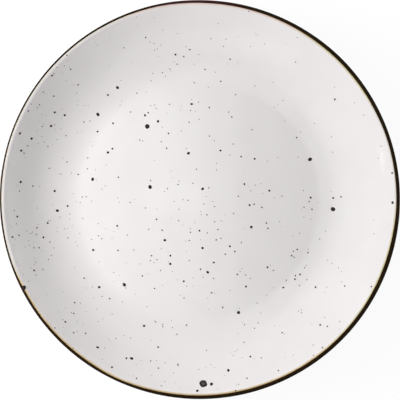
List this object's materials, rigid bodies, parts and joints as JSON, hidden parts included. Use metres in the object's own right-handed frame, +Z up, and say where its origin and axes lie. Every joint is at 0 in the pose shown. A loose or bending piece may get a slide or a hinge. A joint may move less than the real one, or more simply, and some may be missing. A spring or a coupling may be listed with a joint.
{
  "type": "dessert plate",
  "caption": "Round coupe dessert plate on a foot ring, white speckled glaze with a dark brown band brushed round the lip.",
  "frame": {"origin": "centre of the foot ring, on the plane that the plate stands on", "axes": "+Z up along the plate's axis; the plate is round, so X and Y only say where the brushed band is wide (about -20 degrees from +X)"},
  "size_m": [0.205, 0.205, 0.021],
  "materials": {
    "bare_clay": "matte",
    "white_glaze": "gloss",
    "brown_band": "gloss",
    "white_glaze_outside": "gloss",
    "white_glaze_recess": "gloss"
  },
  "bodies": {
    "root": {"stoneware_body": "bare_clay", "upper_glaze": "white_glaze", "rim_band": "brown_band", "underside_glaze": "white_glaze_outside", "foot_recess_glaze": "white_glaze_recess"}
  },
  "joints": []
}
